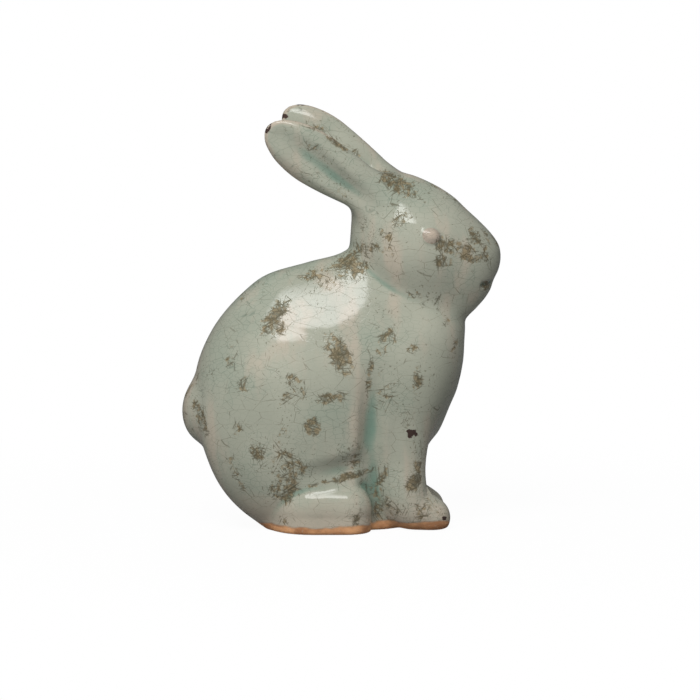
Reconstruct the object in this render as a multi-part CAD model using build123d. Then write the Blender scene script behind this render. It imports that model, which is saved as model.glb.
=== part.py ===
"""Glazed terracotta rabbit, sitting up with its ears laid back.

The figure is a press-moulded hollow shell in two halves that meet on the median plane. Ears,
forelegs, hind feet, tail and eyes are solid clay pieces luted to the shell with slip, and a flat
slab with a vent hole closes it from below.

Millimetres. +X is the way the nose points, +Y the rabbit's left, +Z up. The origin is on the
ground, under the middle of the figure.
"""

import math
import os
from collections import namedtuple

from build123d import *

# One cross-section of a hollow form: a chord from start to end in the median plane, each an
# (x, z) point, and the half width across it. A positive skew moves the widest place to start.
Section = namedtuple("Section", "start end half_width skew")

# One level of a foreleg: height above the slab, middle, half length and half width.
LegLevel = namedtuple("LegLevel", "height middle_x middle_y half_length half_width")

# One station of an ear: distance from the root, half width and half thickness.
EarStation = namedtuple("EarStation", "reach half_width half_thickness")

# Clay walls, and the slab under the shell
WALL = 6.0
SLAB_THICKNESS = 3.0
VENT_DIAMETER = 12.0
VENT_X = -10.0

# Luted sockets
PEG_DIAMETER = 5.0
SOCKET_FLOOR = 2.0
SLIP_GAP = 0.2

# Torso and neck, from the ground up to the inside of the head: start is the back, end the front
TORSO = [
    Section((-40.5, 0.0), (35.5, 0.0), 30.0, 0.0),
    Section((-59.0, 22.0), (39.0, 22.0), 35.0, 0.02),
    Section((-70.0, 44.0), (43.5, 44.0), 37.5, 0.02),
    Section((-74.0, 66.0), (56.0, 65.0), 38.0, 0.02),
    Section((-68.5, 89.0), (61.5, 86.0), 36.0, 0.0),
    Section((-56.0, 110.0), (62.0, 98.0), 29.5, -0.02),
    Section((-38.0, 124.5), (62.0, 106.0), 23.5, -0.02),
    Section((-17.0, 131.5), (61.0, 113.0), 20.0, 0.0),
    Section((1.5, 138.0), (58.0, 121.0), 16.0, 0.0),
    Section((5.0, 150.0), (48.0, 138.0), 11.0, 0.0),
]

# Head, from the nape to the nose: start is the top, end the jaw
HEAD = [
    Section((5.0, 161.5), (5.0, 144.0), 7.5, 0.0),
    Section((9.0, 169.0), (9.0, 131.0), 13.0, -0.05),
    Section((21.0, 176.5), (22.0, 117.0), 22.0, -0.10),
    Section((36.0, 174.0), (38.0, 110.5), 25.7, -0.09),
    Section((50.5, 167.0), (54.0, 108.5), 23.0, -0.05),
    Section((62.5, 157.0), (66.0, 110.5), 18.7, -0.04),
    Section((71.0, 149.0), (73.5, 117.0), 13.5, 0.0),
    Section((76.5, 142.5), (77.5, 125.5), 8.0, 0.0),
    Section((79.0, 137.0), (79.0, 131.0), 3.0, 0.0),
]

# Haunches, one on each side of the torso
HAUNCH_X = -22.0
HAUNCH_Y = 15.0
HAUNCH_Z = 51.0
HAUNCH_HALF_LENGTH = 45.0
HAUNCH_HALF_WIDTH = 26.0
HAUNCH_HALF_HEIGHT = 54.0

# Forelegs, from the slab up into the shoulder
FORELEG = [
    LegLevel(0.0, 35.0, 19.0, 17.5, 11.5),
    LegLevel(4.0, 36.0, 19.5, 17.5, 12.0),
    LegLevel(11.0, 33.5, 20.0, 14.0, 12.5),
    LegLevel(23.0, 29.0, 20.0, 12.0, 12.5),
    LegLevel(37.0, 29.0, 19.5, 13.0, 13.5),
    LegLevel(55.0, 32.0, 18.5, 15.5, 15.5),
    LegLevel(70.0, 35.5, 17.5, 16.5, 16.0),
    LegLevel(80.0, 37.0, 16.5, 16.5, 16.0),
    LegLevel(89.0, 37.5, 15.5, 12.5, 12.0),
]

# Hind feet: their middles are at the torso's sides at the ground
HIND_FOOT_X = -10.0
HIND_FOOT_HALF_LENGTH = 25.0
HIND_FOOT_HALF_WIDTH = 14.0
HIND_FOOT_HEIGHT = 20.0

# Tail
TAIL_Z = 57.0
TAIL_HALF_LENGTH = 10.0
TAIL_HALF_WIDTH = 9.0
TAIL_HALF_HEIGHT = 15.0
TAIL_PROUD = 5.0

# Ears: the left one stands higher on the crown, and more upright, than the right one
EAR_Y = 9.0
EAR_SPLAY = 4.0
EAR_LENGTH = 62.0
EAR_ROOT = {"left": (19.0, 169.0), "right": (13.5, 166.0)}
EAR_RISE = {"left": 38.5, "right": 33.0}
EAR = [
    EarStation(-6.0, 9.0, 6.0),
    EarStation(6.0, 9.5, 5.5),
    EarStation(22.0, 12.0, 5.0),
    EarStation(37.0, 12.8, 4.8),
    EarStation(50.0, 11.3, 4.4),
    EarStation(58.0, 7.8, 3.6),
]
EAR_HOLLOW_REACH = 31.0
EAR_HOLLOW_HALF_LENGTH = 27.0
EAR_HOLLOW_HALF_WIDTH = 8.0
EAR_HOLLOW_DEPTH = 2.6

# Eyes
EYE_X = 42.5
EYE_Z = 144.5
EYE_HALF_LENGTH = 5.0
EYE_HALF_HEIGHT = 4.2
EYE_PROUD = 2.2

# Points round a cross-section, and a box larger than the figure
RING_POINTS = 14
FAR = 500.0


def median(point):
    """An (x, z) point of the median plane, in space."""
    return Vector(point[0], 0.0, point[1])


def egg_face(section, inset):
    """The face of one cross-section, drawn in all round, with its seam on the right side."""
    start, end = median(section.start), median(section.end)
    step_in = (end - start).normalized() * inset
    start, end = start + step_in, end - step_in
    half_width = section.half_width - inset
    points = []
    for step in range(RING_POINTS):
        turn = 2.0 * math.pi * step / RING_POINTS - math.pi / 2.0
        share = (1.0 - math.cos(turn)) / 2.0 - section.skew * math.sin(turn) ** 2
        points.append(start + (end - start) * share + Vector(0.0, half_width * math.sin(turn), 0.0))
    return make_face(Spline(*points, periodic=True))


def ellipsoid(half_length, half_width, half_height):
    """An ellipsoid whose poles are on its left and right."""
    return scale(Rot(90.0, 0.0, 0.0) * Sphere(1.0), by=(half_length, half_width, half_height))


def torso(inset=0.0):
    return loft([egg_face(section, inset) for section in TORSO])


def head(inset=0.0):
    """The head. Drawn in, it keeps only the sections that are thick enough to be hollow."""
    return loft([egg_face(section, inset) for section in HEAD if section.half_width > 2.0 * inset])


def haunches(inset=0.0):
    form = ellipsoid(
        HAUNCH_HALF_LENGTH - inset,
        HAUNCH_HALF_WIDTH - inset,
        HAUNCH_HALF_HEIGHT - inset,
    )
    left = Pos(HAUNCH_X, HAUNCH_Y, HAUNCH_Z) * form
    return left + mirror(left, Plane.XZ)


def left_half(form):
    """What of a form is left of the median plane and above the slab."""
    return form & (Pos(0.0, FAR / 2.0, SLAB_THICKNESS + FAR / 2.0) * Box(FAR, FAR, FAR))


def last_crossing(form, axis):
    """The point where an axis leaves a form for the last time."""
    points = [point for point, _ in form.find_intersection_points(axis)]
    return max(points, key=lambda point: (point - axis.position).dot(axis.direction))


def peg(seat, outward, hold, gap=0.0):
    """A peg at a seat on the shell's surface: hold is its length in the luted piece."""
    depth = WALL - SOCKET_FLOOR + gap
    inner_end = Plane(seat, z_dir=outward).offset(-depth)
    base_up = (Align.CENTER, Align.CENTER, Align.MIN)
    return inner_end * Cylinder(PEG_DIAMETER / 2.0 + gap, depth + hold, align=base_up)


def foreleg_form():
    faces = [
        Pos(level.middle_x, level.middle_y, SLAB_THICKNESS + level.height)
        * Ellipse(level.half_length, level.half_width)
        for level in FORELEG
    ]
    return loft(faces)


def hind_foot_form():
    pebble = ellipsoid(HIND_FOOT_HALF_LENGTH, HIND_FOOT_HALF_WIDTH, HIND_FOOT_HEIGHT)
    dome = pebble & (Pos(0.0, 0.0, FAR / 2.0) * Box(FAR, FAR, FAR))
    return Pos(HIND_FOOT_X, TORSO[0].half_width, SLAB_THICKNESS) * dome


def tail_form(seat):
    knob = ellipsoid(TAIL_HALF_LENGTH, TAIL_HALF_WIDTH, TAIL_HALF_HEIGHT)
    return Pos(seat.X - TAIL_PROUD + TAIL_HALF_LENGTH, 0.0, seat.Z) * knob


def eye_form(seat):
    bead = ellipsoid(EYE_HALF_LENGTH, 2.0 * EYE_PROUD, EYE_HALF_HEIGHT)
    return Pos(seat.X, seat.Y - EYE_PROUD, seat.Z) * bead


def ear_axis(name):
    """The line from an ear's root to its tip, both ears drawn on the left side."""
    rise, splay = math.radians(EAR_RISE[name]), math.radians(EAR_SPLAY)
    x, z = EAR_ROOT[name]
    return Axis((x, EAR_Y, z), (-math.cos(rise), math.tan(splay), math.sin(rise)))


def ear_form(name):
    """An ear's blade with the hollow in its outer face."""
    faces = [
        Pos(0.0, 0.0, station.reach) * Ellipse(station.half_width, station.half_thickness)
        for station in EAR
    ]
    blade = loft([*faces, Vertex(0.0, 0.0, EAR_LENGTH)])
    thickest = max(station.half_thickness for station in EAR[1:])
    scoop = ellipsoid(EAR_HOLLOW_HALF_WIDTH, 2.0 * EAR_HOLLOW_DEPTH, EAR_HOLLOW_HALF_LENGTH)
    blade -= Pos(0.0, thickest + EAR_HOLLOW_DEPTH, EAR_HOLLOW_REACH) * scoop
    axis = ear_axis(name)
    rise = math.radians(EAR_RISE[name])
    across = (math.sin(rise), 0.0, math.cos(rise))
    return Plane(axis.position, x_dir=across, z_dir=axis.direction) * blade


def foot_slab(foreleg_base):
    """The slab under everything that stands on the ground, with its vent hole."""
    hind_foot_base = Pos(HIND_FOOT_X, TORSO[0].half_width) * Ellipse(
        HIND_FOOT_HALF_LENGTH, HIND_FOOT_HALF_WIDTH
    )
    outline = egg_face(TORSO[0], 0.0)
    for base in (foreleg_base, hind_foot_base):
        outline = outline + base + mirror(base, Plane.XZ)
    slab = extrude(outline, SLAB_THICKNESS, dir=(0.0, 0.0, 1.0))
    return slab - Pos(VENT_X, 0.0, SLAB_THICKNESS / 2.0) * Cylinder(VENT_DIAMETER / 2.0, FAR)


def main():
    outer = torso() + haunches() + head()
    outer_half = left_half(outer)
    shell_half = outer_half - torso(WALL) - haunches(WALL) - head(WALL)

    backward, leftward = (-1.0, 0.0, 0.0), (0.0, 1.0, 0.0)
    tail_seat = last_crossing(outer, Axis((0.0, 0.0, TAIL_Z), backward))
    eye_seat = last_crossing(outer, Axis((EYE_X, 0.0, EYE_Z), leftward))
    tail_hold, eye_hold = TAIL_PROUD / 2.0, EYE_PROUD / 2.0
    shell_half -= peg(tail_seat, backward, tail_hold, SLIP_GAP)
    shell_half -= peg(eye_seat, leftward, eye_hold, SLIP_GAP)

    foreleg = foreleg_form() - outer_half
    hind_foot = hind_foot_form() - outer_half - foreleg
    eye = eye_form(eye_seat) - outer_half + peg(eye_seat, leftward, eye_hold)
    ears, shells = {}, {}
    for name in EAR_ROOT:
        axis = ear_axis(name)
        seat = last_crossing(outer, axis)
        ears[name] = ear_form(name) - outer_half + peg(seat, axis.direction, WALL)
        shells[name] = shell_half - peg(seat, axis.direction, WALL, SLIP_GAP)

    first = FORELEG[0]
    foreleg_base = Pos(first.middle_x, first.middle_y) * Ellipse(first.half_length, first.half_width)
    nodes = {
        "foot_slab": foot_slab(foreleg_base),
        "tail": tail_form(tail_seat) - outer + peg(tail_seat, backward, tail_hold),
        "body_left": shells["left"],
        "body_right": mirror(shells["right"], Plane.XZ),
        "ear_left": ears["left"],
        "ear_right": mirror(ears["right"], Plane.XZ),
    }
    for name, piece in (("foreleg", foreleg), ("hind_foot", hind_foot), ("eye", eye)):
        nodes[f"{name}_left"] = piece
        nodes[f"{name}_right"] = mirror(piece, Plane.XZ)

    os.makedirs("parts", exist_ok=True)
    for node, shape in nodes.items():
        export_step(shape, f"parts/{node}.step")


main()
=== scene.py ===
"""The glazed rabbit's looks: one continuous skin, cut into a piece for each clay part.

The skin is the zero level of a signed distance field, in millimetres: rounded forms joined with
soft creases. Pieces share the field's own normals along their borders, so the glaze runs on
without a seam, as it does on the fired figure.
"""

import math

import bmesh
import bpy
import numpy as np
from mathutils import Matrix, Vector


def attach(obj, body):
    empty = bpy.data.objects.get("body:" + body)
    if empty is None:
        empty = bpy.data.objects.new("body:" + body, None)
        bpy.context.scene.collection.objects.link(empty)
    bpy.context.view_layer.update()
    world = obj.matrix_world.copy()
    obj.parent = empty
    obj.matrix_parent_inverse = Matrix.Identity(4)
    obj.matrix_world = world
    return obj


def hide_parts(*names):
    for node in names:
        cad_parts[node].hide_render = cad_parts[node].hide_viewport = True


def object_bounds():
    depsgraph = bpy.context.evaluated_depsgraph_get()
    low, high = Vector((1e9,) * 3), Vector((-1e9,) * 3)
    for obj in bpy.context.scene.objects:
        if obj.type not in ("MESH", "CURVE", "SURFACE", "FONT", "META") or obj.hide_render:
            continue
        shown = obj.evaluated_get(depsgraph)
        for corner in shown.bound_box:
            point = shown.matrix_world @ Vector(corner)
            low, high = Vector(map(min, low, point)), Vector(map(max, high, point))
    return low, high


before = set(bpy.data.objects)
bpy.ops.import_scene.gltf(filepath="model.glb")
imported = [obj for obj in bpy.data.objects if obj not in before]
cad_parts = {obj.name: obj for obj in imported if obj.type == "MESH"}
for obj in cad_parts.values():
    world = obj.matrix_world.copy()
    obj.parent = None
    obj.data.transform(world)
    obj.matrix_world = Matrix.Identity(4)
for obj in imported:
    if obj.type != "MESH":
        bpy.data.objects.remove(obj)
CAD_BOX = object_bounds()

MM = 0.001
GRID_STEP = 1.0
GRID_MARGIN = 4.0
# Grid points to a block's side, and how near the skin a block is worked out point by point
BLOCK = 8
BLOCK_REACH = 14.0
# Share of an edge within which a border goes through the vertex instead
CUT_SNAP = 0.12

# Torso in profile, x and z: from the nape down the back, under the ground, and up the chest
TORSO_OUTLINE = [
    (16.0, 152.0), (2.5, 137.4), (-16.0, 131.7), (-36.5, 125.6), (-49.0, 116.4), (-60.0, 104.4),
    (-67.2, 92.5), (-71.7, 80.5), (-73.5, 68.0), (-73.5, 56.0), (-69.5, 44.0), (-62.5, 33.0),
    (-55.5, 22.5), (-47.3, 11.0), (-39.0, 0.0), (-28.0, -24.0), (0.0, -36.0), (24.0, -26.0),
    (34.0, 0.0), (37.0, 22.0), (43.0, 38.5), (49.3, 47.5), (54.5, 59.5), (58.2, 68.5),
    (61.0, 81.0), (61.8, 92.5), (62.0, 102.0), (60.0, 112.0), (48.0, 135.0), (32.0, 150.0),
]
TORSO_ROUNDNESS = 0.56
TORSO_RADIUS = 85.0
TORSO_FULLNESS = 1.5
# The torso narrows towards the neck: from this height to that one, to this share of its width
SHOULDER_LOW, SHOULDER_HIGH, SHOULDER_SHARE = 72.0, 140.0, 0.62
# Head in profile, from the nape over the crown to the nose and back along the jaw
HEAD_OUTLINE = [
    (5.0, 148.0), (6.5, 159.0), (12.0, 169.0), (22.0, 175.5), (33.0, 175.5), (45.3, 170.7),
    (55.5, 164.5), (62.5, 158.0), (69.0, 152.0), (74.8, 146.0), (78.8, 140.0), (79.8, 134.0),
    (78.8, 128.0), (76.3, 122.5), (74.3, 117.0), (70.0, 111.5), (63.0, 107.5), (50.0, 107.5),
    (36.0, 110.5), (22.0, 118.0), (11.0, 129.0), (6.0, 138.0),
]
HEAD_ROUNDNESS = 0.70
HEAD_RADIUS = 33.0
HEAD_FULLNESS = 3.586
# The head narrows towards the crown in the same way
CROWN_LOW, CROWN_HIGH, CROWN_SHARE = 149.0, 180.0, 0.70

# Cheek, on each side: middle and radii, on the left side as all of these are
CHEEK = (34.0, 8.5, 134.0)
CHEEK_RADII = (21.5, 17.0, 21.0)
HAUNCH = (-24.0, 15.0, 46.0)
HAUNCH_RADII = (43.0, 22.0, 45.0)
# Foreleg from the shoulder to the toes: places and radii
FORELEG = [
    ((38.0, 12.0, 88.0), 11.5),
    ((36.0, 15.0, 76.0), 14.0),
    ((30.5, 18.5, 52.0), 13.8),
    ((29.0, 20.0, 28.0), 11.8),
    ((33.0, 20.0, 12.0), 12.2),
    ((44.0, 19.0, 5.4), 8.4),
]
# Hind foot from the heel, sunk in the haunch, to the toes
HIND_FOOT = [
    ((-32.0, 18.0, 5.0), 6.0), ((-19.5, 28.0, 10.5), 12.0),
    ((-9.0, 28.8, 11.5), 13.4), ((1.0, 29.0, 11.2), 13.0),
]
# Below this height the sides of the hind feet go straight down
HIND_FOOT_SIDE = 8.5
# Scoops between the haunch, the foreleg and the hind foot: rods that are cut away along their length
VALLEY = [
    ((17.5, 32.0, 6.0), 8.0), ((14.0, 35.0, 36.0), 5.0),
    ((14.0, 36.5, 54.0), 4.5), ((15.0, 42.0, 82.0), 4.0),
]
FOLD = [((9.0, 39.0, 34.0), 4.5), ((0.0, 39.8, 31.0), 4.5), ((-17.0, 43.5, 28.0), 4.0)]
SCOOP_SOFTNESS = 6.0
TAIL = (-70.5, 0.0, 57.0)
TAIL_RADII = (8.5, 10.0, 13.0)
# Ears by side: root x and z, and the angle that they rise at
EARS = {1: (21.0, 169.5, 38.5), -1: (15.0, 165.3, 33.0)}
EAR_Y = 9.0
EAR_SPLAY = 4.0
EAR_TILT = -8.0
# An ear's own places run along it, up across it, and out of its face
EAR_BLADE = (34.0, -0.8, 0.0)
EAR_BLADE_RADII = (27.7, 13.5, 5.6)
EAR_STEM = (6.0, 0.0, 0.0)
EAR_STEM_RADII = (25.0, 10.8, 6.5)
# The hollow in an ear's outer face: a rod that is cut away from the tip to the side of the head
EAR_HOLLOW = [
    ((56.0, -0.5, 9.0), 6.0), ((47.0, -0.5, 10.8), 8.0), ((34.0, -1.5, 10.8), 8.0),
    ((20.0, -3.0, 9.7), 6.0), ((8.0, -3.5, 10.4), 5.0), ((-3.0, -3.8, 14.6), 4.5),
]
EYE_X = 42.6
EYE_Z = 144.5
EYE_SUNK = 1.6
EYE_RADII = (4.7, 3.4, 4.2)
# Mouth: a groove on the skin back from the notch under the nose, as x and z
MOUTH = [(75.3, 121.2), (73.5, 121.0), (70.0, 120.4)]
MOUTH_RADIUS = 1.0
MOUTH_SOFTNESS = 2.2
# Kiln vent through the foot
VENT_X = -10.0
VENT_RADIUS = 6.0
VENT_DEPTH = 8.0
SLAB_TOP = 3.0
# How soft the creases are between the forms
CHEEK_SOFTNESS = 8.0
HAUNCH_SOFTNESS = 12.0
EAR_SOFTNESS = 8.0
EAR_LIP = 4.0
FOOT_SOFTNESS = 2.0
JOINTS = {"foreleg": 5.0, "hind_foot": 2.5, "tail": 9.0, "ear_left": 7.0, "ear_right": 8.0, "eye": 1.8}
# The foreleg's crease softens upwards into the chest, and the neck's forwards into the throat: where
# this starts and ends, and the softness there
FORELEG_CREASE = (35.0, 80.0, JOINTS["foreleg"], 13.0)
NECK_CREASE = (18.0, 55.0, 3.0, 9.0)
# Limbs are felt for only this near them
LIMB_REACH = 25.0
FAR = 1000.0


def smooth_min(a, b, softness):
    """The union of two fields, with a fillet where they meet."""
    overlap = np.maximum(softness - np.abs(a - b), 0.0) / softness
    return np.minimum(a, b) - overlap * overlap * softness / 4.0


def smooth_max(a, b, softness):
    return -smooth_min(-a, -b, softness)


def eased(value, start, end, first, last):
    """A number that goes gently from first to last as the value goes from start to end."""
    share = np.clip((value - start) / (end - start), 0.0, 1.0)
    return first + (last - first) * share * share * (3.0 - 2.0 * share)


def ellipsoid(points, centre, radii):
    offset = points - np.array(centre)
    radii = np.array(radii)
    reach = np.linalg.norm(offset / radii, axis=-1)
    slope = np.linalg.norm(offset / radii**2, axis=-1)
    return reach * (reach - 1.0) / np.maximum(slope, 1e-9)


def smooth_steps(before, start, end, beyond, steps):
    """Points of smooth curves from start to end, with their neighbours on both sides."""
    points = []
    for share in np.arange(steps) / steps:
        square, cube = share**2, share**3
        points.append(0.5 * (
            2.0 * start + (end - before) * share
            + (2.0 * before - 5.0 * start + 4.0 * end - beyond) * square
            + (3.0 * start - before - 3.0 * end + beyond) * cube
        ))
    return np.stack(points, axis=1).reshape(-1, start.shape[-1])


def closed_curve(corners, steps=6):
    """A smooth closed curve through the corners, as points."""
    corners = np.array(corners)
    before, after, beyond = (np.roll(corners, turn, axis=0) for turn in (1, -1, -2))
    return smooth_steps(before, corners, after, beyond, steps)


def limb_path(places, steps=8):
    """A smooth line through places with radii: each row is x, y, z and radius."""
    knots = np.array([(*place, radius) for place, radius in places])
    first, last = 2.0 * knots[:1] - knots[1:2], 2.0 * knots[-1:] - knots[-2:-1]
    knots = np.concatenate([first, knots, last])
    path = smooth_steps(knots[:-3], knots[1:-2], knots[2:-1], knots[3:], steps)
    return np.concatenate([path, knots[-2:-1]])


def profile_depth(flat, curve):
    """How deep points of the median plane lie inside a closed curve: smooth inside, the
    distance outside with a minus sign."""
    depth = np.empty(len(flat))
    starts, ends = curve, np.roll(curve, -1, axis=0)
    edges = ends - starts
    for first in range(0, len(flat), 20000):
        part = slice(first, first + 20000)
        to_start = starts[None] - flat[part, None]
        to_end = ends[None] - flat[part, None]
        start_gap = np.linalg.norm(to_start, axis=-1) + 1e-9
        end_gap = np.linalg.norm(to_end, axis=-1) + 1e-9
        cross = to_start[..., 0] * to_end[..., 1] - to_start[..., 1] * to_end[..., 0]
        dot = (to_start * to_end).sum(-1)
        turn = np.arctan2(cross, dot)
        potential = (np.tan(turn / 2.0) * (1.0 / start_gap + 1.0 / end_gap)).sum(-1)
        share = np.clip(-(to_start * edges).sum(-1) / (edges * edges).sum(-1), 0.0, 1.0)
        nearest = np.linalg.norm(to_start + share[..., None] * edges, axis=-1).min(-1)
        inside = np.abs(turn.sum(-1)) > math.pi
        smooth = 2.0 / np.maximum(np.abs(potential), 1e-9)
        depth[part] = np.where(inside, smooth, -nearest)
    return depth


class Profile:
    """A form that fills its outline in the median plane and swells to each side of it: near the
    outline it is as round as a flattened ball of the given radius, and fullness widens its middle."""

    PITCH = 0.5
    MARGIN = 12.0

    def __init__(self, outline, roundness, radius, fullness, narrowing=(0.0, 1.0, 1.0)):
        curve = closed_curve(outline)
        self.roundness, self.radius, self.fullness = roundness, radius, fullness
        self.narrowing = narrowing
        self.low = curve.min(axis=0) - self.MARGIN
        counts = ((curve.max(axis=0) + self.MARGIN - self.low) / self.PITCH).astype(int) + 1
        axes = [low + self.PITCH * np.arange(count) for low, count in zip(self.low, counts)]
        flat = np.stack(np.meshgrid(*axes, indexing="ij"), axis=-1)
        self.grid = profile_depth(flat.reshape(-1, 2), curve).reshape(counts)

    def depth(self, x, z):
        """The depth at points of the median plane, read between the grid's points."""
        column, row = (x - self.low[0]) / self.PITCH, (z - self.low[1]) / self.PITCH
        across = np.clip(column, 0.0, self.grid.shape[0] - 1.001)
        up = np.clip(row, 0.0, self.grid.shape[1] - 1.001)
        i, j = across.astype(int), up.astype(int)
        s, t = across - i, up - j
        near = self.grid[i, j] * (1.0 - s) + self.grid[i + 1, j] * s
        far = self.grid[i, j + 1] * (1.0 - s) + self.grid[i + 1, j + 1] * s
        beyond = np.hypot(column - across, row - up) * self.PITCH
        return near * (1.0 - t) + far * t - beyond

    def swell(self, x, z):
        """The square of the half width at points of the median plane."""
        depth = self.depth(x, z)
        start, end, least = self.narrowing
        share = self.roundness * eased(z, start, end, 1.0, least)
        return share**2 * (2.0 * self.radius + self.fullness * np.abs(depth)) * depth

    def field(self, points):
        x, y, z = np.moveaxis(points, -1, 0)
        steepest = 2.0 * self.roundness**2 * self.radius
        return (y**2 - self.swell(x, z)) / np.sqrt(steepest**2 + 4.0 * y**2)


TORSO = Profile(
    TORSO_OUTLINE, TORSO_ROUNDNESS, TORSO_RADIUS, TORSO_FULLNESS,
    (SHOULDER_LOW, SHOULDER_HIGH, SHOULDER_SHARE),
)
HEAD = Profile(
    HEAD_OUTLINE, HEAD_ROUNDNESS, HEAD_RADIUS, HEAD_FULLNESS, (CROWN_LOW, CROWN_HIGH, CROWN_SHARE),
)


def limb(points, path):
    """A rounded limb along a path, worked out only near it. Its radius blends from that of the
    nearest points of the path, so that the skin has no rings."""
    places, radii = path[:, :3], path[:, 3]
    low = (places - radii[:, None]).min(axis=0) - LIMB_REACH
    high = (places + radii[:, None]).max(axis=0) + LIMB_REACH
    close = ((points > low) & (points < high)).all(axis=-1)
    near = points[close]
    gap, weights, total = np.full(len(near), FAR), np.zeros(len(near)), np.zeros(len(near))
    for start, end in zip(places, places[1:]):
        along = end - start
        share = np.clip((near - start) @ along / (along @ along), 0.0, 1.0)
        gap = np.minimum(gap, np.linalg.norm(near - start - share[:, None] * along, axis=-1))
    for place, radius in zip(places, radii):
        weight = 1.0 / (((near - place) ** 2).sum(axis=-1) + 1e-3) ** 2
        weights += weight
        total += weight * radius
    whole = np.full(points.shape[:-1], FAR)
    whole[close] = gap - total / np.maximum(weights, 1e-12)
    return whole


def along_ear(points, side):
    """Points in an ear's own places: side is 1 left and -1 right."""
    root_x, root_z, rise = EARS[side]
    rise, splay, tilt = math.radians(rise), math.radians(EAR_SPLAY), math.radians(EAR_TILT)
    along = np.array([-math.cos(rise), side * math.tan(splay), math.sin(rise)])
    along /= np.linalg.norm(along)
    up = np.array([math.sin(rise), 0.0, math.cos(rise)])
    out = np.array([0.0, side, 0.0]) - along * along[1] * side
    out /= np.linalg.norm(out)
    up, out = up * math.cos(tilt) - out * math.sin(tilt), out * math.cos(tilt) + up * math.sin(tilt)
    return (points - np.array([root_x, side * EAR_Y, root_z])) @ np.stack([along, up, out], axis=1)


def ear(points, side):
    """The blade of one ear, without the hollow."""
    local = along_ear(points, side)
    blade = ellipsoid(local, EAR_BLADE, EAR_BLADE_RADII)
    return smooth_min(blade, ellipsoid(local, EAR_STEM, EAR_STEM_RADII), EAR_SOFTNESS)


def on_head(x, z):
    """The place on the left side of the head that is seen at x and z."""
    return (x, math.sqrt(max(HEAD.swell(np.array([x]), np.array([z]))[0], 0.0)), z)


MOUTH_PATH = limb_path([(on_head(x, z), MOUTH_RADIUS) for x, z in MOUTH])
FORELEG_PATH, HIND_FOOT_PATH = limb_path(FORELEG), limb_path(HIND_FOOT)
SCOOP_PATHS = [limb_path(VALLEY), limb_path(FOLD)]
EAR_HOLLOW_PATH = limb_path(EAR_HOLLOW)


def mirrored(points):
    """The points with those of the right side carried over to the left."""
    return points * [1.0, 0.0, 1.0] + np.abs(points) * [0.0, 1.0, 0.0]


def body_form(points):
    """Torso, head, cheeks and haunches, with the scoops and the mouth cut into them."""
    folded = mirrored(points)
    head = smooth_min(HEAD.field(points), ellipsoid(folded, CHEEK, CHEEK_RADII), CHEEK_SOFTNESS)
    body = smooth_min(TORSO.field(points), head, eased(points[..., 0], *NECK_CREASE))
    body = smooth_min(body, ellipsoid(folded, HAUNCH, HAUNCH_RADII), HAUNCH_SOFTNESS)
    for path in SCOOP_PATHS:
        body = smooth_max(body, -limb(folded, path), SCOOP_SOFTNESS)
    return smooth_max(body, -limb(folded, MOUTH_PATH), MOUTH_SOFTNESS)


def eye_seat():
    """How far out the head's side is at the eye."""
    inner, outer = 0.0, 60.0
    for _ in range(30):
        middle = 0.5 * (inner + outer)
        inside = body_form(np.array([[EYE_X, middle, EYE_Z]]))[0] < 0.0
        inner, outer = (middle, outer) if inside else (inner, middle)
    return inner


EYE = (EYE_X, eye_seat() - EYE_SUNK, EYE_Z)


def forms(points):
    """The field of each clay part, by name."""
    folded = mirrored(points)
    return {
        "body": body_form(points),
        "foreleg": limb(folded, FORELEG_PATH),
        "hind_foot": limb(np.maximum(folded, (-FAR, -FAR, HIND_FOOT_SIDE)), HIND_FOOT_PATH),
        "tail": ellipsoid(points, TAIL, TAIL_RADII),
        "ear_left": ear(points, 1),
        "ear_right": ear(points, -1),
        "eye": ellipsoid(folded, EYE, EYE_RADII),
    }


def vent(points):
    """The kiln vent, which is cut upwards from the ground."""
    aside = np.hypot(points[..., 0] - VENT_X, points[..., 1]) - VENT_RADIUS
    return np.maximum(aside, points[..., 2] - VENT_DEPTH)


def skin(points):
    """The whole figure's field: every part joined to the body, cut off at the ground."""
    fields = forms(points)
    whole = fields["body"]
    for name, softness in JOINTS.items():
        if name == "foreleg":
            softness = eased(points[..., 2], *FORELEG_CREASE)
        whole = smooth_min(whole, fields[name], softness)
    for side in EARS:
        whole = smooth_max(whole, -limb(along_ear(points, side), EAR_HOLLOW_PATH), EAR_LIP)
    whole = smooth_max(whole, -points[..., 2], FOOT_SOFTNESS)
    return np.maximum(whole, -vent(points))


def gradient(field, points, reach=0.4):
    """The slope of a field, by central differences."""
    slopes = []
    for axis in range(3):
        step = np.zeros(3)
        step[axis] = reach
        slopes.append((field(points + step) - field(points - step)) / (2.0 * reach))
    return np.stack(slopes, axis=-1)


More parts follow.
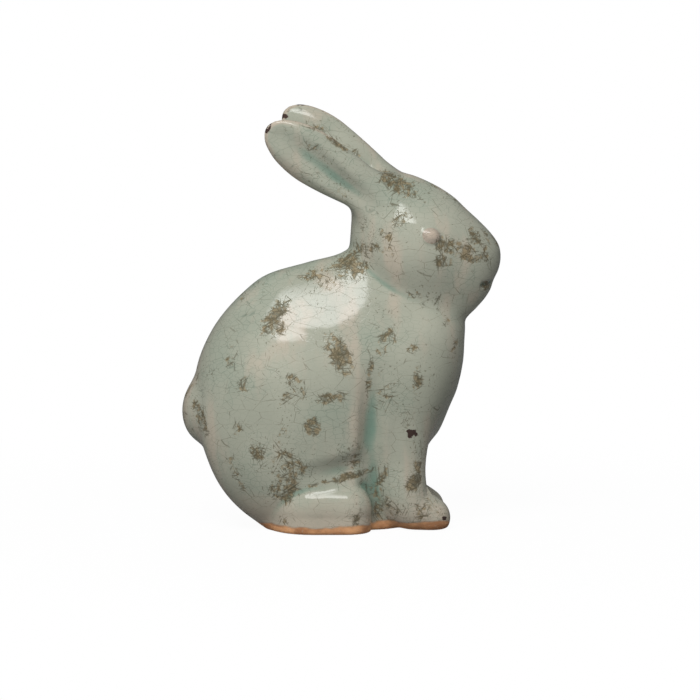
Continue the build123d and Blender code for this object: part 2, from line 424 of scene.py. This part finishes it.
def surface_net(values, low, step):
    """Vertices and quads on the zero level of a field's values on a grid."""
    inside = values < 0.0
    cells = np.array(values.shape) - 1
    total, count = np.zeros((*cells, 3)), np.zeros(cells)
    crossings = []
    unit = np.eye(3, dtype=int)
    for axis in range(3):
        lower, upper = [slice(None)] * 3, [slice(None)] * 3
        lower[axis], upper[axis] = slice(None, -1), slice(1, None)
        before, after = values[tuple(lower)], values[tuple(upper)]
        crossing = inside[tuple(lower)] != inside[tuple(upper)]
        place = np.argwhere(crossing)
        share = (before[crossing] / (before[crossing] - after[crossing]))[:, None]
        spot = place + share * unit[axis]
        first, second = (axis + 1) % 3, (axis + 2) % 3
        beside = place[:, [first, second]]
        inner = ((beside > 0) & (beside < cells[[first, second]])).all(1)
        place, spot = place[inner], spot[inner]
        ring = []
        for back_first, back_second in ((1, 1), (0, 1), (0, 0), (1, 0)):
            cell = place - back_first * unit[first] - back_second * unit[second]
            ring.append(cell)
            np.add.at(total, tuple(cell.T), spot)
            np.add.at(count, tuple(cell.T), 1.0)
        crossings.append((np.stack(ring, axis=1), inside[tuple(place.T)]))
    numbers = np.full(cells, -1)
    numbers[count > 0] = np.arange((count > 0).sum())
    vertices = low + step * total[count > 0] / count[count > 0][:, None]
    quads = []
    for ring, outward in crossings:
        quad = numbers[tuple(np.moveaxis(ring, -1, 0))]
        quads.append(np.where(outward[:, None], quad, quad[:, ::-1]))
    return vertices, np.concatenate(quads)


def settle(vertices, rounds):
    """Moves vertices onto the skin."""
    for _ in range(rounds):
        slope = gradient(skin, vertices)
        vertices = vertices - skin(vertices)[:, None] * slope / (slope**2).sum(-1, keepdims=True)
    return vertices


def normals_at(vertices):
    slope = gradient(skin, vertices)
    return slope / np.linalg.norm(slope, axis=-1, keepdims=True)


def grid_net():
    """The skin's net, on a grid with a layer of cells round the median plane. Only the blocks of the
    grid that lie near the skin are worked out point by point."""
    low = np.array(CAD_BOX[0]) / MM - GRID_MARGIN
    high = np.array(CAD_BOX[1]) / MM + GRID_MARGIN
    low[1] = -(math.ceil(high[1] / GRID_STEP) + 0.5) * GRID_STEP
    high[1] = -low[1]
    blocks = np.ceil((high - low) / (GRID_STEP * BLOCK)).astype(int)
    centres = low + (np.stack(np.indices(blocks), axis=-1) + 0.5) * GRID_STEP * BLOCK
    values = skin(centres)
    near = np.abs(values) < BLOCK_REACH
    for axis in range(3):
        values, near = np.repeat(values, BLOCK, axis=axis), np.repeat(near, BLOCK, axis=axis)
    places = np.argwhere(near)
    for part in np.array_split(places, 16):
        values[tuple(part.T)] = skin(low + part * GRID_STEP)
    vertices, quads = surface_net(values, low, GRID_STEP)
    vertices[np.abs(vertices[:, 1]) < 0.5 * GRID_STEP, 1] = 0.0
    return settle(vertices, 2), quads


def cut(triangles, values, vertices):
    """Splits triangles along the line where the values at their corners pass zero: gives those below
    it, those above it, and the vertices with new ones on the line. A line that passes close by a
    vertex goes through it."""
    below = values < 0.0
    corners = below[triangles]
    count = corners.sum(axis=1)
    mixed = (count == 1) | (count == 2)
    odd = np.where(count == 1, corners.argmax(axis=1), (~corners).argmax(axis=1))[mixed]
    a, b, c = np.take_along_axis(triangles[mixed], (odd[:, None] + np.arange(3)) % 3, axis=1).T
    pairs = np.sort(np.concatenate([np.stack([a, b], axis=1), np.stack([a, c], axis=1)]), axis=1)
    edges, index = np.unique(pairs, axis=0, return_inverse=True)
    first, second = values[edges].T
    share = first / (first - second)
    fresh = vertices[edges[:, 0]] * (1.0 - share)[:, None] + vertices[edges[:, 1]] * share[:, None]
    numbers = len(vertices) + np.arange(len(edges))
    numbers = np.where(share < CUT_SNAP, edges[:, 0], numbers)
    numbers = np.where(share > 1.0 - CUT_SNAP, edges[:, 1], numbers)
    p, q = numbers[index.reshape(2, -1)]
    tips = np.stack([a, p, q], axis=1)
    stumps = np.concatenate([np.stack([p, b, c], axis=1), np.stack([p, c, q], axis=1)])
    tip_below = below[a]
    stump_below = np.tile(~tip_below, 2)
    sides = []
    for whole, tip, stump in ((3, tip_below, stump_below), (0, ~tip_below, ~stump_below)):
        kept = np.concatenate([triangles[count == whole], tips[tip], stumps[stump]])
        proper = (kept != np.roll(kept, 1, axis=1)).all(axis=1)
        sides.append(kept[proper])
    return *sides, np.concatenate([vertices, settle(fresh, 1)])


def parts_of_skin():
    """The vertices of the skin, and the triangles of each node's share of it."""
    vertices, quads = grid_net()
    triangles = np.concatenate([quads[:, [0, 1, 2]], quads[:, [0, 2, 3]]])
    shares = {}
    shares["foot_slab"], triangles, vertices = cut(triangles, vertices[:, 2] - SLAB_TOP, vertices)
    middle = vertices[triangles].mean(axis=1)
    in_vent = np.hypot(middle[:, 0] - VENT_X, middle[:, 1]) < VENT_RADIUS + 0.5 * GRID_STEP
    triangles = triangles[~in_vent | (middle[:, 2] > VENT_DEPTH + GRID_STEP)]
    for name in JOINTS:
        fields = forms(vertices)
        own = fields.pop(name)
        others = np.min(list(fields.values()), axis=0)
        shares[name], triangles, vertices = cut(triangles, own - others, vertices)
    shares["body"] = triangles
    for name in ("body", "foreleg", "hind_foot", "eye"):
        whole = shares.pop(name)
        right, left, vertices = cut(whole, vertices[:, 1], vertices)
        shares[f"{name}_right"], shares[f"{name}_left"] = right, left
    return vertices, shares


# Glaze thins on ridges and pools in hollows: how far round a vertex the skin is felt for, and the
# drop there at which each starts and is full
BEND_REACH = 4.0
RIDGE_START, RIDGE_FULL = 0.34, 1.3
HOLLOW_START, HOLLOW_FULL = 0.08, 0.6
# It pools too where other forms close in: how far in front of the skin they are felt for, and how much
CROWD_REACH = 7.0
CROWD_SHARE = 0.8
# A worn patch has faded out at this many times its half length or half width
PATCH_EDGE = 1.8
# Worn spots on the sides that are out of view: how many, and the seed of their draw
FAR_SPOTS = 34
FAR_SEED = 7
# How fast the wear of one side gives way to that of the other where the skin turns away
SIDE_CHANGE = 2.0
# Wall of the shell's pieces, and the slots of the nodes that aren't glazed like the rest
SHELL = 2.0
SLOTS = {"foot_slab": "bare_clay", "eye_left": "eye_glaze", "eye_right": "eye_glaze"}


def near_forms(vertices, normals, reach):
    """How much of the space in front of the skin other forms close in, from 0 to 1."""
    return np.clip(1.0 - skin(vertices + reach * normals) / reach, 0.0, 1.0)


def bend(vertices, normals, reach):
    """How far the skin drops away round each vertex, in millimetres: below zero in hollows."""
    helper = np.where(np.abs(normals[:, 2:]) < 0.8, [[0.0, 0.0, 1.0]], [[1.0, 0.0, 0.0]])
    across = np.cross(normals, helper)
    across /= np.linalg.norm(across, axis=-1, keepdims=True)
    along = np.cross(normals, across)
    drop = np.zeros(len(vertices))
    for direction in (across, -across, along, -along):
        drop += skin(vertices + reach * direction) / 4.0
    return drop


def patches(vertices, spots):
    """Soft patches on the skin: each spot is x, z, half length, half width, turn and strength."""
    total = np.zeros(len(vertices))
    for x, z, half_length, half_width, turn, strength in spots:
        cosine, sine = math.cos(math.radians(turn)), math.sin(math.radians(turn))
        right, up = vertices[:, 0] - x, vertices[:, 2] - z
        along, across = right * cosine + up * sine, up * cosine - right * sine
        distance = np.hypot(along / half_length, across / half_width)
        total = np.maximum(total, strength * np.clip(PATCH_EDGE - distance, 0.0, 1.0))
    return total


def scattered_spots(count, seed):
    """Spots like the known ones, for the sides that are out of view."""
    chance = np.random.default_rng(seed)
    spots = []
    for _ in range(count):
        x, z = chance.uniform(-70.0, 70.0), chance.uniform(8.0, 200.0)
        half_length = chance.uniform(3.0, 11.0)
        spots.append((
            x, z, half_length, half_length * chance.uniform(0.25, 0.7),
            chance.uniform(-90.0, 90.0), chance.uniform(0.6, 1.0),
        ))
    return spots


def glaze_marks(vertices, normals):
    """Where the glaze pools, thins, is worn or is chipped, at each vertex."""
    drop = bend(vertices, normals, BEND_REACH)
    thin = np.clip((drop - RIDGE_START) / (RIDGE_FULL - RIDGE_START), 0.0, 1.0)
    hollow = np.clip((-drop - HOLLOW_START) / (HOLLOW_FULL - HOLLOW_START), 0.0, 1.0)
    pool = np.maximum(hollow, CROWD_SHARE * near_forms(vertices, normals, CROWD_REACH))
    toward_view = np.clip(0.5 - SIDE_CHANGE * normals[:, 1], 0.0, 1.0)
    away = np.clip(0.5 + SIDE_CHANGE * normals[:, 1], 0.0, 1.0)
    wear = np.maximum(
        toward_view * patches(vertices, WORN_RIGHT),
        away * patches(vertices, scattered_spots(FAR_SPOTS, FAR_SEED)),
    )
    chips = np.maximum(patches(vertices, CHIPS_RIGHT) * toward_view, patches(vertices, CHIPS_EDGES))
    return {"pool": pool, "thin": thin, "wear": wear, "chip": chips}


def rim_of(triangles):
    """The edges that only one triangle has, as that triangle runs along them."""
    edges = np.concatenate([triangles[:, [i, (i + 1) % 3]] for i in range(3)])
    _, first, repeats = np.unique(np.sort(edges, axis=1), axis=0, return_index=True, return_counts=True)
    return edges[first[repeats == 1]]


def piece_mesh(name, vertices, normals, triangles, marks):
    """One closed mesh: the piece's share of the skin, and inner faces that close it."""
    used, local = np.unique(triangles, return_inverse=True)
    local = local.reshape(triangles.shape)
    places, outward = vertices[used], normals[used]
    rim = rim_of(local)
    faces = local.tolist()
    if name.startswith("body"):
        inner = len(places)
        places = np.concatenate([places, places - outward * SHELL])
        faces += (local[:, ::-1] + inner).tolist()
        faces += [[b, a, a + inner, b + inner] for a, b in rim.tolist()]
    elif name != "foot_slab":
        places = np.concatenate([places, [places[np.unique(rim)].mean(axis=0)]])
        faces += [[b, a, len(places) - 1] for a, b in rim.tolist()]
    mesh = bpy.data.meshes.new(name)
    mesh.from_pydata((places * MM).tolist(), [], faces)
    if name == "foot_slab":
        fill_top(mesh)
    for mark, values in marks.items():
        attribute = mesh.attributes.new(mark, "FLOAT", "POINT")
        spread = np.zeros(len(places))
        spread[: len(used)] = values[used]
        attribute.data.foreach_set("value", spread)
    mesh.shade_smooth()
    corner_normals = np.zeros((len(mesh.loops), 3))
    mesh.loops.foreach_get("normal", corner_normals.reshape(-1))
    corner_normals[: local.size] = outward[local.reshape(-1)]
    mesh.normals_split_custom_set(corner_normals.tolist())
    return mesh


def fill_top(mesh):
    """Closes the slab between its outer rim and the vent's."""
    work = bmesh.new()
    work.from_mesh(mesh)
    rim = [edge for edge in work.edges if edge.is_boundary]
    bmesh.ops.triangle_fill(work, edges=rim, use_beauty=True, normal=(0.0, 0.0, 1.0))
    work.to_mesh(mesh)
    work.free()


def build_pieces(materials):
    vertices, shares = parts_of_skin()
    normals = normals_at(vertices)
    marks = glaze_marks(vertices, normals)
    for node in sorted(shares):
        mesh = piece_mesh(node, vertices, normals, shares[node], marks)
        piece = bpy.data.objects.new(f"glazed_{node}", mesh)
        bpy.context.collection.objects.link(piece)
        slot = SLOTS.get(node, "glaze")
        piece.data.materials.append(materials[slot])
        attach(piece, "root")
        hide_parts(node)


# Worn places on the right side: x, z, half length, half width, turn in degrees and strength
WORN_RIGHT = [
    (28.5, 170.0, 11.0, 4.0, -31.0, 1.0), (-3.5, 192.5, 14.0, 2.4, -32.0, 0.8),
    (-25.5, 197.0, 3.0, 2.4, -30.0, 0.7), (-15.5, 189.5, 4.0, 3.0, -30.0, 0.8),
    (4.0, 131.0, 16.0, 6.0, 38.0, 1.0), (-12.0, 126.5, 9.0, 2.5, 13.0, 0.8),
    (-32.5, 107.0, 12.0, 3.5, 54.0, 1.0), (-54.5, 87.5, 6.0, 3.0, 60.0, 0.7),
    (-50.5, 72.5, 7.0, 4.0, 45.0, 0.65), (-3.0, 88.5, 10.0, 5.0, -65.0, 1.0),
    (-5.0, 67.0, 8.0, 2.6, 5.0, 0.8), (-15.0, 53.0, 4.5, 3.5, 60.0, 1.0),
    (-52.0, 52.5, 4.0, 2.5, 80.0, 0.8), (-52.0, 30.0, 8.0, 3.5, -65.0, 0.75),
    (-28.0, 33.5, 9.0, 8.0, 0.0, 0.8), (-70.5, 56.5, 10.0, 2.5, -70.0, 0.9),
    (0.0, 27.5, 18.0, 1.6, 13.0, 1.0), (21.5, 93.5, 8.0, 4.0, 60.0, 0.9),
    (36.0, 73.5, 9.0, 2.2, 85.0, 0.85), (59.0, 137.5, 13.0, 4.0, -20.0, 0.9),
    (50.0, 132.5, 4.0, 3.0, 0.0, 0.8), (74.5, 142.5, 5.0, 2.0, -50.0, 0.8),
    (71.5, 120.0, 2.5, 2.5, 0.0, 0.9), (18.5, 66.5, 9.0, 6.0, 80.0, 0.55),
    (33.5, 23.5, 5.0, 3.0, 60.0, 1.0), (40.0, 11.5, 6.0, 4.5, 45.0, 0.85),
    (17.5, 13.5, 13.0, 2.5, 90.0, 0.9), (28.5, 152.5, 5.0, 3.0, 20.0, 0.6),
    (30.0, 116.0, 6.0, 2.0, 0.0, 0.7), (12.5, 76.0, 9.0, 1.6, 85.0, 0.9),
    (18.0, 75.0, 7.0, 2.2, 80.0, 0.75), (33.0, 88.0, 6.0, 3.0, 60.0, 0.7),
    (-40.0, 90.0, 5.0, 2.0, 40.0, 0.6), (-24.0, 76.0, 5.0, 2.0, -20.0, 0.6),
    (-36.0, 44.0, 5.0, 3.0, 30.0, 0.7), (52.0, 105.0, 4.0, 2.0, 70.0, 0.6),
    (44.0, 78.0, 5.0, 1.8, 75.0, 0.65), (-46.0, 118.0, 6.0, 2.0, 40.0, 0.6),
    (20.0, 30.0, 6.0, 2.0, 70.0, 0.8), (-30.0, 6.0, 5.0, 2.0, 5.0, 0.6),
    (60.0, 160.0, 5.0, 2.0, -45.0, 0.6),
]
# Chips down to the dark body, on the right side and on the ears' edges
CHIPS_RIGHT = [(33.5, 48.5, 2.6, 2.0, 0.0, 1.0), (50.0, 6.0, 1.0, 1.0, 0.0, 1.0)]
CHIPS_EDGES = [
    (-20.0, 211.0, 3.0, 1.2, -10.0, 1.0), (-28.0, 204.0, 1.8, 1.2, 0.0, 1.0),
    (-36.5, 197.5, 2.2, 1.0, 60.0, 1.0),
]

# Colours, linear
CELADON = (0.395, 0.402, 0.325)
GREY_CELADON = (0.333, 0.345, 0.277)
TEAL = (0.15, 0.255, 0.20)
CREAM = (0.50, 0.415, 0.33)
DEEP_TEAL = (0.11, 0.155, 0.12)
ROSE = (0.41, 0.35, 0.285)
TAN = (0.245, 0.182, 0.092)
OLIVE = (0.08, 0.067, 0.034)
CHIP_BROWN = (0.05, 0.028, 0.022)
CLAY = (0.66, 0.345, 0.165)
DARK_CLAY = (0.36, 0.165, 0.075)

# Brush strokes of the wear: how densely they lie along, into and across the figure's side, per metre,
# and the angles that they run at
STROKE_STRETCH = (60.0, 300.0, 1500.0)
STROKE_TURNS = (4.0, 33.0, 66.0, 95.0, 127.0, 158.0)


class Nodes:
    """Adds nodes to a material's or the world's tree; values and sockets both serve as inputs."""

    def __init__(self, owner):
        owner.use_nodes = True
        self.tree = owner.node_tree
        self.shader = self.tree.nodes.get("Principled BSDF")
        self.place = self.add("ShaderNodeTexCoord", {}, "Object")

    def add(self, kind, inputs, output=0, **settings):
        node = self.tree.nodes.new(kind)
        for name, value in settings.items():
            setattr(node, name, value)
        for name, value in inputs.items():
            self.connect(node.inputs[name], value)
        return node.outputs[output]

    def connect(self, socket, value):
        if isinstance(value, bpy.types.NodeSocket):
            self.tree.links.new(value, socket)
        elif isinstance(value, tuple) and len(value) == 3 and socket.type == "RGBA":
            socket.default_value = (*value, 1.0)
        else:
            socket.default_value = value

    def stretched(self, stretch, warp=None, warp_size=0.0):
        """Coordinates stretched along each axis, and wandering by a noise."""
        place = self.place
        if warp is not None:
            shift = self.add("ShaderNodeVectorMath", {0: warp, 1: (0.5, 0.5, 0.5)}, operation="SUBTRACT")
            shift = self.add("ShaderNodeVectorMath", {0: shift, "Scale": warp_size}, operation="SCALE")
            place = self.add("ShaderNodeVectorMath", {0: place, 1: shift})
        return self.add("ShaderNodeVectorMath", {0: place, 1: stretch}, operation="MULTIPLY")

    def noise(self, scale, detail=3.0, vector=None, output=0, roughness=0.5):
        inputs = {"Vector": vector or self.place, "Scale": scale, "Detail": detail, "Roughness": roughness}
        return self.add("ShaderNodeTexNoise", inputs, output)

    def strokes(self, turn):
        """Fine strokes that run at an angle across the side of the figure."""
        inputs = {"Vector": self.place, "Angle": math.radians(turn)}
        turned = self.add("ShaderNodeVectorRotate", inputs, rotation_type="Y_AXIS")
        drawn = self.add("ShaderNodeVectorMath", {0: turned, 1: STROKE_STRETCH}, operation="MULTIPLY")
        return self.noise(1.0, 2.0, vector=drawn)

    def largest(self, values):
        total = values[0]
        for value in values[1:]:
            total = self.math("MAXIMUM", total, value)
        return total

    def centred(self, value, size):
        """A noise about zero instead of about a half."""
        return self.math("MULTIPLY", self.math("SUBTRACT", value, 0.5), size)

    def cracks(self, scale, vector):
        inputs = {"Vector": vector, "Scale": scale}
        return self.add("ShaderNodeTexVoronoi", inputs, "Distance", feature="DISTANCE_TO_EDGE")

    def attribute(self, name):
        return self.add("ShaderNodeAttribute", {}, "Fac", attribute_name=name)

    def math(self, operation, a, b=0.0, clamp=False):
        return self.add("ShaderNodeMath", {0: a, 1: b}, operation=operation, use_clamp=clamp)

    def between(self, value, low, high, start=0.0, end=1.0):
        """A value's place between two levels, eased at both ends."""
        inputs = {"Value": value, "From Min": low, "From Max": high, "To Min": start, "To Max": end}
        return self.add("ShaderNodeMapRange", inputs, interpolation_type="SMOOTHSTEP")

    def mix(self, share, first, second):
        inputs = {"Factor": share, 6: first, 7: second}
        return self.add("ShaderNodeMix", inputs, 2, data_type="RGBA")


def glaze_material(name, pale, grey):
    """Crackled glaze: pooled in hollows, thin on edges, worn in patches, bare at the foot."""
    material = bpy.data.materials.new(name)
    nodes = Nodes(material)
    broad = nodes.noise(22.0, 4.0)
    fine = nodes.noise(420.0, 4.0)
    mid = nodes.noise(95.0, 5.0, roughness=0.65)
    streaks = nodes.noise(70.0, 3.0, vector=nodes.stretched((1.0, 1.0, 0.22)))
    wander = nodes.noise(120.0, 2.0, output="Color")
    wide_cracks = nodes.cracks(114.0, nodes.stretched((0.75, 1.0, 1.6), wander, 0.0012))
    fine_cracks = nodes.cracks(290.0, nodes.stretched((0.8, 1.0, 1.3), wander, 0.001))
    tint = nodes.noise(34.0, 4.0)
    scuffs = nodes.noise(48.0, 3.0, vector=nodes.stretched((1.0, 1.0, 0.8)))
    strokes = nodes.largest([nodes.strokes(turn) for turn in STROKE_TURNS])

    colour = nodes.mix(nodes.between(broad, 0.35, 0.65), grey, pale)
    colour = nodes.mix(nodes.between(tint, 0.48, 0.75, 0.0, 0.2), colour, TEAL)
    colour = nodes.mix(nodes.between(streaks, 0.50, 0.70, 0.0, 0.55), colour, CREAM)
    pool = nodes.math("ADD", nodes.attribute("pool"), nodes.centred(mid, 0.35))
    colour = nodes.mix(nodes.between(pool, 0.2, 0.95, 0.0, 0.85), colour, TEAL)
    thin = nodes.math("ADD", nodes.attribute("thin"), nodes.centred(mid, 0.5))
    colour = nodes.mix(nodes.between(thin, 0.30, 0.80, 0.0, 0.7), colour, CREAM)

    height = nodes.add("ShaderNodeSeparateXYZ", {0: nodes.place}, "Z")
    drained = nodes.math("SUBTRACT", height, nodes.centred(mid, 0.02))
    colour = nodes.mix(nodes.between(drained, 0.004, 0.024, 0.6, 0.0), colour, CREAM)

    line = nodes.between(wide_cracks, 0.0, 0.016, 1.0, 0.0)
    line_share = nodes.math("MULTIPLY", line, nodes.between(mid, 0.42, 0.60, 0.12, 0.65))
    colour = nodes.mix(line_share, colour, OLIVE)
    web = nodes.between(fine_cracks, 0.0, 0.04, 1.0, 0.0)
    web_share = nodes.math("MULTIPLY", web, nodes.between(tint, 0.4, 0.62, 0.1, 0.45))
    colour = nodes.mix(web_share, colour, DEEP_TEAL)

    worn = nodes.math("MAXIMUM", nodes.attribute("wear"), nodes.between(scuffs, 0.52, 0.68, 0.0, 0.75))
    ragged = nodes.math("ADD", worn, nodes.centred(mid, 2.4))
    core = nodes.math("ADD", ragged, nodes.centred(fine, 1.6))
    core = nodes.math("MULTIPLY", nodes.between(core, 0.75, 1.1), nodes.between(worn, 0.1, 0.4))
    brushed = nodes.math("ADD", strokes, nodes.between(ragged, 0.1, 1.1, 0.03, 0.2))
    brushed = nodes.between(brushed, 0.785, 0.815)
    brown = nodes.mix(nodes.between(fine, 0.4, 0.6), OLIVE, TAN)
    colour = nodes.mix(nodes.math("MULTIPLY", core, 0.75), colour, brown)
    colour = nodes.mix(nodes.math("MULTIPLY", brushed, 0.7), colour, OLIVE)
    specks = nodes.math("ADD", nodes.noise(800.0, 1.0), nodes.centred(scuffs, 0.5))
    colour = nodes.mix(nodes.between(specks, 0.70, 0.76, 0.0, 0.5), colour, OLIVE)
    worn_share = nodes.math("MAXIMUM", core, brushed)

    chip_level = nodes.math("ADD", nodes.attribute("chip"), nodes.centred(fine, 2.2))
    chip_share = nodes.between(chip_level, 0.6, 0.75)
    colour = nodes.mix(chip_share, colour, CHIP_BROWN)

    edge = nodes.math("SUBTRACT", height, nodes.centred(nodes.noise(60.0, 3.0), 0.006))
    bare = nodes.between(edge, 0.0036, 0.0048, 1.0, 0.0)
    clay = nodes.mix(nodes.between(mid, 0.35, 0.65), DARK_CLAY, CLAY)
    colour = nodes.mix(bare, colour, clay)

    dull = nodes.largest([worn_share, chip_share, bare])
    rough = nodes.between(dull, 0.0, 1.0, 0.055, 0.55)
    nodes.connect(nodes.shader.inputs["Base Color"], colour)
    nodes.connect(nodes.shader.inputs["Roughness"], rough)
    nodes.shader.inputs["IOR"].default_value = 1.65
    hollows = nodes.math("MULTIPLY", dull, -1.0)
    hollows = nodes.math("ADD", hollows, nodes.math("MULTIPLY", line, -0.08))
    hollows = nodes.math("ADD", hollows, nodes.math("MULTIPLY", broad, 1.5))
    normal = nodes.add("ShaderNodeBump", {"Height": hollows, "Strength": 0.25, "Distance": 0.0006})
    nodes.connect(nodes.shader.inputs["Normal"], normal)
    return material


def clay_material(name):
    """Bare fired clay of the foot."""
    material = bpy.data.materials.new(name)
    nodes = Nodes(material)
    mottle = nodes.noise(90.0, 5.0)
    grit = nodes.noise(900.0, 3.0)
    colour = nodes.mix(nodes.between(mottle, 0.35, 0.65), DARK_CLAY, CLAY)
    colour = nodes.mix(nodes.between(grit, 0.55, 0.75, 0.0, 0.4), colour, CREAM)
    nodes.connect(nodes.shader.inputs["Base Color"], colour)
    nodes.connect(nodes.shader.inputs["Roughness"], nodes.between(grit, 0.3, 0.7, 0.75, 0.95))
    normal = nodes.add("ShaderNodeBump", {"Height": grit, "Strength": 0.4, "Distance": 0.0004})
    nodes.connect(nodes.shader.inputs["Normal"], normal)
    return material


build_pieces({
    "glaze": glaze_material("glaze", CELADON, GREY_CELADON),
    "eye_glaze": glaze_material("eye_glaze", ROSE, ROSE),
    "bare_clay": clay_material("bare_clay"),
})

FLOOR_HALF = 3.0
# The floor is white by itself to this share near the figure, and fully from one distance to another
FLOOR_GLOW = 0.96
FLOOR_WHITE = (0.88, 0.88, 0.88)
# What the floor throws back onto the figure is kept low, as on a table among dark cards
FLOOR_GREY = (0.3, 0.3, 0.3)
FADE_START, FADE_END = 0.12, 0.45
floor_mesh = bpy.data.meshes.new("floor")
corners = [(-1.0, -1.0), (1.0, -1.0), (1.0, 1.0), (-1.0, 1.0)]
floor_mesh.from_pydata([(FLOOR_HALF * x, FLOOR_HALF * y, 0.0) for x, y in corners], [], [(0, 1, 2, 3)])
floor = bpy.data.objects.new("floor", floor_mesh)
bpy.context.collection.objects.link(floor)


DIRECT_RAYS = ("Is Camera Ray", "Is Glossy Ray", "Is Transmission Ray")


def paper_material():
    """White paper that keeps the shadow near the figure and is plain white further off."""
    material = bpy.data.materials.new("paper")
    nodes = Nodes(material)
    nodes.shader.inputs["Roughness"].default_value = 0.9
    away = nodes.add("ShaderNodeVectorMath", {0: nodes.place}, "Value", operation="LENGTH")
    white = nodes.between(away, FADE_START, FADE_END, FLOOR_GLOW, 1.0)
    direct = nodes.largest([nodes.add("ShaderNodeLightPath", {}, name) for name in DIRECT_RAYS])
    nodes.connect(nodes.shader.inputs["Base Color"], nodes.mix(direct, FLOOR_GREY, FLOOR_WHITE))
    share = nodes.math("MULTIPLY", direct, white)
    glow = nodes.add("ShaderNodeEmission", {})
    blend = nodes.add("ShaderNodeMixShader", {"Fac": share, 1: nodes.shader.outputs[0], 2: glow})
    nodes.connect(nodes.tree.nodes["Material Output"].inputs["Surface"], blend)
    return material


floor.data.materials.append(paper_material())

WORLD_LEVEL = 0.2
world = bpy.data.worlds.new("studio")
bpy.context.scene.world = world
sky = Nodes(world)
direct = sky.largest([sky.add("ShaderNodeLightPath", {}, name) for name in DIRECT_RAYS])
background = sky.tree.nodes["Background"]
sky.connect(background.inputs["Strength"], sky.between(direct, 0.0, 1.0, WORLD_LEVEL, 1.0))
sky.connect(background.inputs["Color"], (1.0, 1.0, 1.0))


def softbox(name, place, aim, width, height, watts):
    data = bpy.data.lights.new(name, "AREA")
    data.shape = "RECTANGLE"
    data.size, data.size_y, data.energy = width, height, watts
    light = bpy.data.objects.new(name, data)
    bpy.context.collection.objects.link(light)
    light.location = place
    light.rotation_euler = (Vector(aim) - Vector(place)).to_track_quat("-Z", "Y").to_euler()
    light.visible_camera = False
    return light


# Soft lamps, whose glare on the glaze is drawn by the window in the tent
softbox("front", (-0.3, -1.08, 1.12), (0.0, 0.0, 0.1), 1.0, 1.0, 26.0).visible_glossy = False
softbox("rear", (0.3, 1.5, 0.4), (0.0, 0.0, 0.1), 1.0, 1.0, 16.0).visible_glossy = False

# The tent's middle lies at the height of the figure's; it ends just above the floor
TENT_RADIUS = 1.25
TENT_HEIGHT = 0.11
TENT_GAP = 0.001
TENT_GREY = 0.12
# The window in degrees from where it is dark to where it is bright
WINDOW_LEVEL = 4.2
WINDOW_TILT = 0.04
WINDOW_LEFT, WINDOW_RIGHT = (-56.0, -42.0), (18.0, 6.0)
WINDOW_FOOT, WINDOW_HEAD = (48.0, 50.0), (72.0, 57.0)


def tent_glow(nodes):
    """Grey cards, with a window high up on the camera's side that fades upwards and to its ends."""
    x, y, z = (nodes.add("ShaderNodeSeparateXYZ", {0: nodes.place}, axis) for axis in "XYZ")
    turn = nodes.math("ARCTAN2", x, nodes.math("MULTIPLY", y, -1.0))
    rise = nodes.math("ARCSINE", nodes.math("DIVIDE", z, TENT_RADIUS))
    rise = nodes.math("ADD", rise, nodes.math("MULTIPLY", turn, WINDOW_TILT))
    window = WINDOW_LEVEL
    sides = ((turn, WINDOW_LEFT), (turn, WINDOW_RIGHT), (rise, WINDOW_FOOT), (rise, WINDOW_HEAD))
    for value, levels in sides:
        outer, inner = (math.radians(level) for level in levels)
        window = nodes.math("MULTIPLY", window, nodes.between(value, outer, inner))
    return nodes.math("ADD", window, TENT_GREY)


def dark_cards():
    """A tent of dark cards over the table and on it, seen only in the gloss: it draws the dark
    outline that glossy ware has in a studio."""
    mesh = bpy.data.meshes.new("dark_cards")
    work = bmesh.new()
    bmesh.ops.create_uvsphere(work, u_segments=48, v_segments=24, radius=TENT_RADIUS)
    for vertex in work.verts:
        vertex.co.z = max(vertex.co.z, TENT_GAP - TENT_HEIGHT)
    bmesh.ops.remove_doubles(work, verts=work.verts, dist=TENT_GAP)
    work.to_mesh(mesh)
    work.free()
    tent = bpy.data.objects.new("dark_cards", mesh)
    tent.location.z = TENT_HEIGHT
    bpy.context.collection.objects.link(tent)
    for kind in ("camera", "diffuse", "transmission", "shadow", "volume_scatter"):
        setattr(tent, f"visible_{kind}", False)
    material = bpy.data.materials.new("dark_cards")
    nodes = Nodes(material)
    glow = nodes.add("ShaderNodeEmission", {"Strength": tent_glow(nodes)})
    nodes.connect(nodes.tree.nodes["Material Output"].inputs["Surface"], glow)
    mesh.materials.append(material)


dark_cards()

# Camera: at the right flank, with half a millimetre to a pixel at the median plane
CAMERA_DISTANCE = 1.3
CAMERA_ELEVATION = 4.0
# The camera stands a little towards the tail, so that the far paw is hidden
CAMERA_TURN = 2.5
VIEW_CENTRE = (0.0045, 0.0, 0.0875)
VIEW_WIDTH = 0.35
camera_data = bpy.data.cameras.new("camera")
camera = bpy.data.objects.new("camera", camera_data)
bpy.context.collection.objects.link(camera)
camera_data.angle = 2.0 * math.atan(VIEW_WIDTH / 2.0 / CAMERA_DISTANCE)
rise, turn = math.radians(CAMERA_ELEVATION), math.radians(CAMERA_TURN)
camera.rotation_euler = (math.pi / 2.0 - rise, 0.0, -turn)
level = math.cos(rise)
towards_camera = Vector((-math.sin(turn) * level, -math.cos(turn) * level, math.sin(rise)))
camera.location = Vector(VIEW_CENTRE) + CAMERA_DISTANCE * towards_camera
bpy.context.scene.camera = camera
bpy.context.scene.view_settings.view_transform = "Standard"
